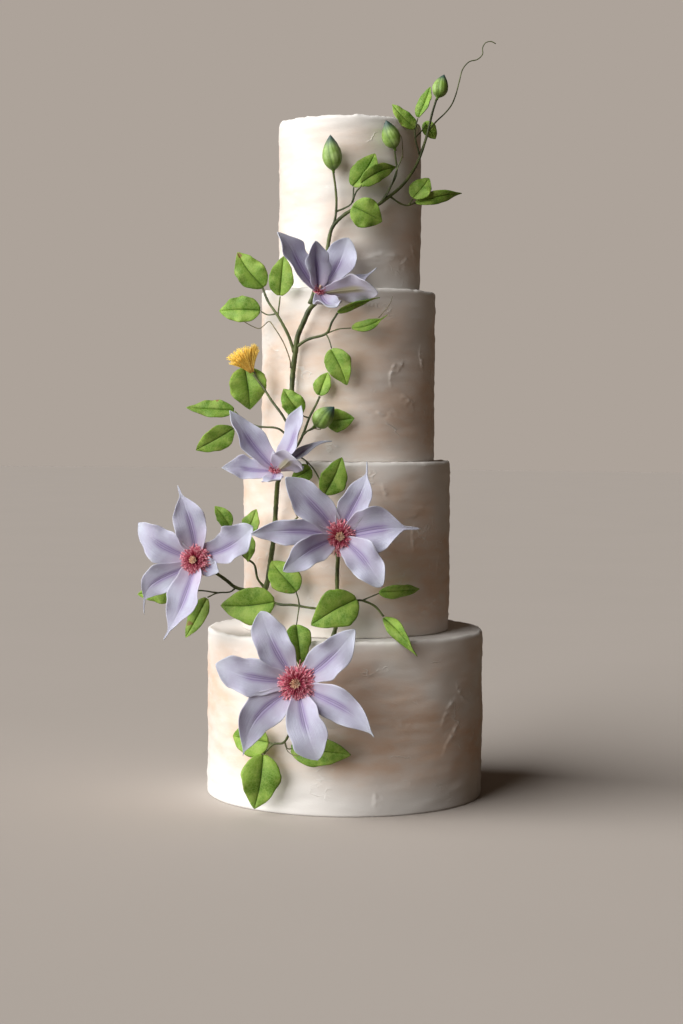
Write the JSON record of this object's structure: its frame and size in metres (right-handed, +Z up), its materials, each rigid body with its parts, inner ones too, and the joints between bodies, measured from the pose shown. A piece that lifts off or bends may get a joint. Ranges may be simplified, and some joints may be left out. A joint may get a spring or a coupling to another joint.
{
  "type": "tiered wedding cake",
  "caption": "Tall tiered wedding cake with brushed ivory buttercream sides and a climbing clematis vine in sugar: flowers, buds, leaves, stems.",
  "frame": {"origin": "centre of the bottom tier's underside, on the surface the cake stands on", "axes": "+Z up the stack of tiers; -Y towards the front, where most of the flowers are; +X to the right seen from the front"},
  "size_m": [0.3173, 0.3132, 0.6895],
  "materials": {
    "buttercream": "soft satin buttercream, ivory with brushed peach and beige patches",
    "petal": "matte sugar paste, pale lilac with mauve ribs",
    "stamen": "matte, burgundy to pink with pale tips",
    "leaf": "matte sugar paste dusted in greens",
    "bud": "matte sugar paste, green with a blue-grey tip",
    "stem": "matte floral tape over wire, olive green",
    "seed": "matte yellow threads"
  },
  "bodies": {
    "root": {"bud_1": "bud", "bud_2": "bud", "bud_3": "bud", "bud_4": "bud", "leaf_bottom_1": "leaf", "leaf_bottom_2": "leaf", "leaf_bottom_3": "leaf", "leaf_bottom_4": "leaf", "leaf_bottom_5": "leaf", "leaf_bottom_6": "leaf", "leaf_crest_1": "leaf", "leaf_crest_2": "leaf", "leaf_crest_3": "leaf", "leaf_crest_4": "leaf", "leaf_crest_5": "leaf", "leaf_second_1": "leaf", "leaf_second_10": "leaf", "leaf_second_11": "leaf", "leaf_second_2": "leaf", "leaf_second_3": "leaf", "leaf_second_4": "leaf", "leaf_second_5": "leaf", "leaf_second_6": "leaf", "leaf_second_7": "leaf", "leaf_second_8": "leaf", "leaf_second_9": "leaf", "leaf_third_1": "leaf", "leaf_third_10": "leaf", "leaf_third_11": "leaf", "leaf_third_12": "leaf", "leaf_third_2": "leaf", "leaf_third_3": "leaf", "leaf_third_4": "leaf", "leaf_third_5": "leaf", "leaf_third_6": "leaf", "leaf_third_7": "leaf", "leaf_third_8": "leaf", "leaf_third_9": "leaf", "leaf_top_1": "leaf", "leaf_top_2": "leaf", "leaf_top_3": "leaf", "petals_crown": "petal", "petals_left": "petal", "petals_lower": "petal", "petals_middle": "petal", "petals_right": "petal", "seed_head": "seed", "spray_left": "stem", "spray_low": "stem", "spray_right": "stem", "spray_top": "stem", "stamens_crown": "stamen", "stamens_left": "stamen", "stamens_lower": "stamen", "stamens_middle": "stamen", "stamens_right": "stamen", "tier_bottom": "buttercream", "tier_second": "buttercream", "tier_third": "buttercream", "tier_top": "buttercream"}
  },
  "joints": []
}
